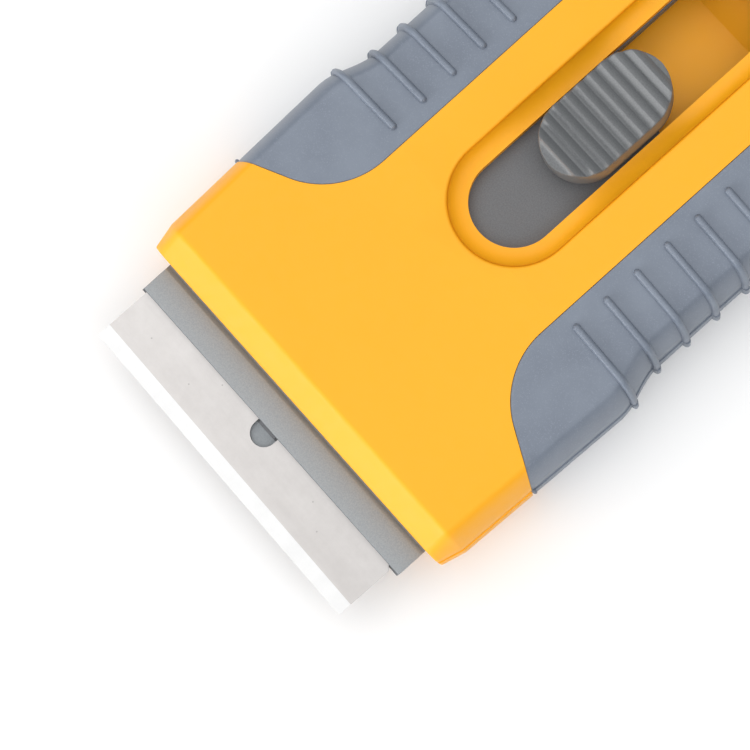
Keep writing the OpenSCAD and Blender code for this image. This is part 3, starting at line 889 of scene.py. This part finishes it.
def grip(name, node, side, place, tree, known):
    rows = rib_rows()
    upper = place is lifted
    rings, notes = [], []
    for y in rows:
        ring, ribs = grip_ring(y, UPPER_LEAN if upper else LOWER_LEAN, upper)
        rings.append([(side * x, along, z) for x, along, z in ring])
        notes += ribs
    points, faces = loft(rings)
    mesh = bpy.data.meshes.new(name)
    mesh.from_pydata(place(points), [], faces)
    up = 1 if upper else -1
    for label, index in (("rib_along", 0), ("rib_past", 1)):
        mesh.attributes.new(label, "FLOAT", "POINT").data.foreach_set("value", [n[index] for n in notes])
    lifts = [v for n in notes for v in (side * n[2][0], 0.0, up * n[2][1])]
    mesh.attributes.new("rib_lift", "FLOAT_VECTOR", "POINT").data.foreach_set("vector", lifts)
    piece = new_object(name, mesh)
    grown(piece, tree, known, {
        "First": RIB_FIRST_Y, "Pitch": RIB_PITCH, "Last index": RIB_N - 1.0, "Width": RIB_W, "Height": RIB_H})
    for label in ("rib_along", "rib_past", "rib_lift"):
        piece.data.attributes.remove(piece.data.attributes[label])
    mend(piece.data, 1e-3)
    if not upper:
        join(piece, tip_bead(side, rows[0] + TIP_BEAD_R / 2))
        x, y = SCREW_PLACES[1]
        cut(piece, post(side * x, y, -OVER, HALF_H - OVER, SINK_D + 2 * GRIP_SEAM))
    return settle(piece, "housing", [node], [RUBBER])


# Button


def ridge_tree():
    """Cuts even grooves across a button's dished top; the ridges' fronts are hollow near its front end."""
    number = "NodeSocketFloat"
    tree, given, known = shape_tree("thumb_ridges", (
        ("First", number), ("Pitch", number), ("Last index", number), ("Depth", number),
        ("Valley share", number), ("Hollow", number), ("Back roundness", number), ("Dish", number)))
    size = given.outputs
    along = named(tree, "FLOAT", "button_along")
    top = named(tree, "FLOAT", "button_top")
    steps = math_node(tree, "DIVIDE", math_node(tree, "SUBTRACT", along, size["First"]), size["Pitch"])
    order = math_node(tree, "FLOOR", steps)
    past = math_node(tree, "FRACT", steps)
    left = math_node(tree, "SUBTRACT", 1.0, past)
    gone = math_node(tree, "DIVIDE", past, size["Valley share"], clamp=True)
    fall = math_node(tree, "SUBTRACT", 1.0, math_node(tree, "POWER", gone, size["Back roundness"]))
    rise_run = math_node(tree, "SUBTRACT", 1.0, size["Valley share"])
    rise = math_node(tree, "SUBTRACT", 1.0, math_node(tree, "DIVIDE", left, rise_run), clamp=True)
    share = math_node(tree, "DIVIDE", steps, size["Last index"], clamp=True)
    hollow = math_node(tree, "MULTIPLY", math_node(tree, "SUBTRACT", 1.0, share), size["Hollow"])
    rise = math_node(tree, "POWER", rise, math_node(tree, "ADD", 1.0, hollow))
    fall = math_node(tree, "MULTIPLY", fall, math_node(tree, "GREATER_THAN", order, -0.5))
    before_last = math_node(tree, "LESS_THAN", order, math_node(tree, "SUBTRACT", size["Last index"], 0.5))
    rise = math_node(tree, "MULTIPLY", rise, before_last)
    tooth = math_node(tree, "SUBTRACT", math_node(tree, "MAXIMUM", fall, rise), 1.0)
    whole = math_node(tree, "SUBTRACT", math_node(tree, "MULTIPLY", share, 2.0), 1.0)
    bowl = math_node(tree, "SUBTRACT", math_node(tree, "MULTIPLY", whole, whole), 1.0)
    depth = math_node(tree, "ADD", math_node(tree, "MULTIPLY", tooth, size["Depth"]),
                      math_node(tree, "MULTIPLY", bowl, size["Dish"]))
    offset = add(tree, "ShaderNodeCombineXYZ", {"Z": math_node(tree, "MULTIPLY", depth, top)}).outputs[0]
    moved = add(tree, "GeometryNodeSetPosition", {"Geometry": given.outputs["Geometry"], "Offset": offset})
    close_tree(tree, moved.outputs[0], BUTTON_GREY)
    return tree, known


def thumb_button():
    """Oval cap whose top is a little narrower than its foot and stands a little forward of it, on a stem."""
    tree, known = ridge_tree()
    half_l, half_w = BUTTON_L / 2, BUTTON_W / 2
    straight = half_l - half_w
    places = [TOOTH_FIRST + TOOTH_PITCH * (i + share) for i in range(-1, TOOTH_N) for share in TOOTH_ROWS]
    end = [half_w * (1 - math.cos(math.pi / 2 * i / 12)) for i in range(10)]
    places = sorted({*[p for p in places if 0 < p < BUTTON_L], *end, *[BUTTON_L - p for p in end]})
    rings, along, top = [], [], []
    for place in places:
        y = place - half_l
        away = max(0.0, abs(y) - straight)
        w = max(math.sqrt(max(half_w**2 - away**2, 0.0)), 0.05)
        top_w = w * (1 - CAP_FLARE / half_w)
        r = min(CAP_EDGE_R, 0.6 * top_w)
        right = [(w, CAP_BACK, CAP_Z, 0.0), (w, CAP_BACK, CAP_Z + FOOT_H, 0.0)]
        right.append((top_w, 0.0, BUTTON_TOP - r, 1.0))
        for i in range(1, 5):
            a = math.pi / 2 * i / 4
            right.append((top_w - r * (1 - math.cos(a)), 0.0, BUTTON_TOP - r * (1 - math.sin(a)), 1.0))
        right += [((top_w - r) * share, 0.0, BUTTON_TOP, 1.0) for share in (0.8, 0.4)]
        ring = right + [(-x, back, z, t) for x, back, z, t in reversed(right)]
        rings.append([(x, BUTTON_Y + y + back, z) for x, back, z, _ in ring])
        along += [place] * len(ring)
        top += [t for _, _, _, t in ring]
    points, faces = loft(rings)
    mesh = bpy.data.meshes.new("thumb_button_ridged")
    mesh.from_pydata(points, [], faces)
    mesh.attributes.new("button_along", "FLOAT", "POINT").data.foreach_set("value", along)
    mesh.attributes.new("button_top", "FLOAT", "POINT").data.foreach_set("value", top)
    piece = new_object("thumb_button_ridged", mesh)
    grown(piece, tree, known, {
        "First": TOOTH_FIRST, "Pitch": TOOTH_PITCH, "Last index": TOOTH_N - 1.0, "Depth": TOOTH_H,
        "Valley share": VALLEY_SHARE, "Hollow": RIDGE_HOLLOW, "Back roundness": RIDGE_BACK, "Dish": DISH_H})
    for label in ("button_along", "button_top"):
        piece.data.attributes.remove(piece.data.attributes[label])
    mend(piece.data, 0)
    low, high = BUTTON_Y - STEM_L / 2, BUTTON_Y + STEM_L / 2
    join(piece, block((-STEM_W / 2, low, STEM_Z), (STEM_W / 2, high, CAP_Z + OVER)))
    join(piece, block((-STEM_W / 2, low - BARB_L, STEM_Z), (STEM_W / 2, high + BARB_L, STEM_Z + BARB_H)))
    return settle(piece, "button", ["thumb_button"], [BUTTON_GREY])


# Carrier, blade, spring and screws


def refined(node, name, width, segments):
    """Copy of a CAD piece with its flat faces made whole and its edges eased."""
    piece = new_object(name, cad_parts[node].data.copy())
    piece.data.materials.clear()
    bm = bmesh.new()
    bm.from_mesh(piece.data)
    bmesh.ops.remove_doubles(bm, verts=bm.verts, dist=2e-6)
    bmesh.ops.dissolve_limit(bm, angle_limit=math.radians(0.5), verts=bm.verts, edges=bm.edges)
    bm.to_mesh(piece.data)
    bm.free()
    if width:
        bevel = piece.modifiers.new("eased", "BEVEL")
        bevel.width = width * MM
        bevel.segments = segments
        bevel.limit_method = "ANGLE"
        bevel.angle_limit = math.radians(40)
        evaluated(piece)
    return piece


def carrier_pieces():
    carrier = refined("blade_carrier", "blade_slider", CARRIER_EASE, 3)
    carrier.data.transform(TO_FRAME.inverted())
    cut(carrier, block((-WINDOW_W / 2, WINDOW_FRONT, JAW_TOP), (WINDOW_W / 2, WINDOW_BACK, TOP_Z)))
    for x0, x1 in ((-WINDOW_W / 2, -CORNER_X), (CORNER_X, WINDOW_W / 2)):
        cut(carrier, block((x0, CORNER_FRONT, JAW_TOP), (x1, WINDOW_FRONT + OVER, TOP_Z)))
    cut(carrier, block((-MOUTH_W, -MOUTH_W, 0), (JAW_TRIM_X, OVER, TOP_Z)))
    low = (-POCKET_W / 2, POCKET_FRONT, MOUTH_Z + OVER)
    join(carrier, block(low, (POCKET_W / 2, POCKET_BACK, POCKET_FLOOR)))
    carrier.data.transform(TO_FRAME)
    tie(carrier, "carrier", ["blade_carrier"], [CARRIER_GREY, STRIP_GREY])
    # Painted light: the pocket's floor takes the paler strip grey, so the recess under the blade's hole shows
    # lighter than its shade
    for face in carrier.data.polygons:
        x, y, z = TO_FRAME.inverted() @ face.center
        if abs(x) < POCKET_W / 2 and POCKET_FRONT < y < POCKET_BACK and abs(z - POCKET_FLOOR) < 0.05:
            face.material_index = 1
    strip = refined("blade_clamp", "clamp_strip", STRIP_EASE, 4)
    strip.data.transform(TO_FRAME.inverted())
    step_z, over_z = STRIP_TOP - SHOULDER_H, STRIP_TOP + OVER
    shoulder = [(-SHOULDER_L, STRIP_TOP), (-SHOULDER_L / 3, step_z), (OVER, step_z), (OVER, over_z),
                (-SHOULDER_L, over_z)]
    cut(strip, solid("shoulder", *loft([[(x, y, z) for y, z in shoulder] for x in (-MOUTH_W, MOUTH_W)])))
    strip.data.transform(TO_FRAME @ Matrix.Translation((STRIP_SHIFT, 0, 0)))
    tie(strip, "carrier", ["blade_clamp"], [STRIP_GREY, CARRIER_GREY])
    # Painted shade: the strip's forward-facing edge faces take the darker carrier grey, a thin shadow line
    # where the strip meets the blade
    for face in strip.data.polygons:
        if face.normal.y < -0.5:
            face.material_index = 1
    blade = refined("razor_blade", "single_edge_blade", 0, 0)
    tie(blade, "carrier", ["razor_blade"], [BLADE_STEEL, GROUND_STEEL], math.radians(2))
    # The ground faces of the edge lean a little
    for face in blade.data.polygons:
        if 0.9 < abs(face.normal.z) < 0.9995:
            face.material_index = 1
    leaf = refined("lock_spring", "leaf_spring", 0, 0)
    tie(leaf, None, ["lock_spring"], [PLAIN_STEEL])
    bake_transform(leaf)


def screw_shape():
    """One pan-head screw, head down, with an eased rim and a cross recess."""
    profile = [
        (SCREW_HEAD_D / 2 - 0.5, 0.0), (SCREW_HEAD_D / 2 - 0.2, 0.07), (SCREW_HEAD_D / 2 - 0.04, 0.25),
        (SCREW_HEAD_D / 2, 0.5), (SCREW_HEAD_D / 2, SCREW_HEAD_H), (SCREW_D / 2, SCREW_HEAD_H),
        (SCREW_D / 2, SCREW_HEAD_H + SCREW_L - 0.5), (SCREW_D / 2 - 0.5, SCREW_HEAD_H + SCREW_L)]
    sides = 40
    turns = [2 * math.pi * i / sides for i in range(sides)]
    rings = [[(r * math.cos(a), r * math.sin(a), z) for a in turns] for r, z in profile]
    screw = solid("screw", *loft(rings))
    for turn in (0, 90):
        bar = block((-DRIVE_L / 2, -DRIVE_W / 2, -OVER), (DRIVE_L / 2, DRIVE_W / 2, DRIVE_H))
        bar.data.transform(Matrix.Rotation(math.radians(turn), 4, "Z"))
        cut(screw, bar)
    return screw


def housing_screws():
    """Sets a screw on each boss, each turned its own way."""
    tree, given, known = shape_tree("screw_set", (("Screw", "NodeSocketObject"), ("Turn", "NodeSocketFloat")))
    shape = add(tree, "GeometryNodeObjectInfo", {"Object": given.outputs["Screw"]})
    links = {2: 0.0, 3: given.outputs["Turn"], "Seed": 4}
    turn = add(tree, "FunctionNodeRandomValue", links, data_type="FLOAT")
    spin = add(tree, "ShaderNodeCombineXYZ", {"Z": turn.outputs[1]}).outputs[0]
    points = add(tree, "GeometryNodeMeshToPoints", {"Mesh": given.outputs["Geometry"]})
    links = {"Points": points.outputs[0], "Instance": shape.outputs["Geometry"], "Rotation": spin}
    close_tree(tree, add(tree, "GeometryNodeInstanceOnPoints", links).outputs[0], PLAIN_STEEL)
    screw = screw_shape()
    mesh = bpy.data.meshes.new("assembly_screws")
    mesh.from_pydata([(x, y, HEAD_RECESS) for x, y in SCREW_PLACES], [], [])
    piece = new_object("assembly_screws", mesh)
    grown(piece, tree, known, {"Screw": screw, "Turn": math.pi / 2})
    bpy.data.objects.remove(screw)
    return settle(piece, "housing", ["housing_screws"], [PLAIN_STEEL])


upper_housing()
lower_housing()
ribs, rib_sizes = rib_tree()
grip("left_grip_top", "left_grip_upper", -1, lifted, ribs, rib_sizes)
grip("right_grip_top", "right_grip_upper", 1, lifted, ribs, rib_sizes)
grip("left_grip_under", "left_grip_lower", -1, flipped, ribs, rib_sizes)
grip("right_grip_under", "right_grip_lower", 1, flipped, ribs, rib_sizes)
thumb_button()
carrier_pieces()
housing_screws()


# Floor, light and camera


def white_floor():
    """Paper a hair below the part, so that the two don't share a face."""
    size, drop = 3.0, 0.00002
    mesh = bpy.data.meshes.new("floor")
    corners = [(-size, -size, -drop), (size, -size, -drop), (size, size, -drop), (-size, size, -drop)]
    mesh.from_pydata(corners, [], [(0, 1, 2, 3)])
    floor = new_object("floor", mesh)
    material, tree, shader, _ = finish("white_paper", (0.9, 0.9, 0.9), 0.9)
    shader.inputs["Specular IOR Level"].default_value = 0.0
    rays = tree.nodes.new("ShaderNodeLightPath").outputs
    seen = math_node(tree, "MAXIMUM", rays["Is Camera Ray"], rays["Is Glossy Ray"])
    seen = math_node(tree, "MAXIMUM", seen, rays["Is Transmission Ray"])
    tree.links.new(math_node(tree, "MULTIPLY", seen, 0.05), shader.inputs["Emission Strength"])
    floor.data.materials.append(material)


def soft_lamp(name, place, size, power):
    """Rectangular lamp that looks at the middle of the part."""
    data = bpy.data.lights.new(name, "AREA")
    data.shape = "RECTANGLE"
    data.size, data.size_y = size
    data.energy = power
    lamp = bpy.data.objects.new(name, data)
    scene.collection.objects.link(lamp)
    lamp.location = place
    lamp.rotation_euler = (Vector((0, 0, 0)) - Vector(place)).to_track_quat("-Z", "Y").to_euler()


def studio_world():
    """Pale surroundings, brighter overhead than at the horizon."""
    world = bpy.data.worlds.new("studio")
    world.use_nodes = True
    scene.world = world
    tree = world.node_tree
    way = add(tree, "ShaderNodeSeparateXYZ", {0: tree.nodes.new("ShaderNodeTexCoord").outputs["Generated"]})
    glow = ranged(tree, way.outputs["Z"], 0.3, 1.0, 0.1, 1.4)
    tree.links.new(glow, tree.nodes["Background"].inputs["Strength"])
    tree.nodes["Background"].inputs["Color"].default_value = (1, 1, 1, 1)


white_floor()
studio_world()
soft_lamp("key", (-0.55, 0.0, 0.75), (0.7, 0.7), 1.6)
soft_lamp("fill", (0.65, 0.15, 0.6), (0.6, 0.6), 0.9)
soft_lamp("front", (0.0, -0.9, 0.22), (0.9, 0.42), 6.3)

camera_data = bpy.data.cameras.new("photo_camera")
camera_data.lens = 107.7215
camera_data.sensor_width = 36.0
camera_data.clip_start = 0.01
camera = bpy.data.objects.new("photo_camera", camera_data)
scene.collection.objects.link(camera)
camera.location = TO_FRAME @ Vector((26.984, 9.684, 240.126))
camera.rotation_euler = Euler([math.radians(a) for a in (4.06812, 4.13761, 48.19844)], "XYZ")
scene.camera = camera
scene.view_settings.view_transform = "Standard"
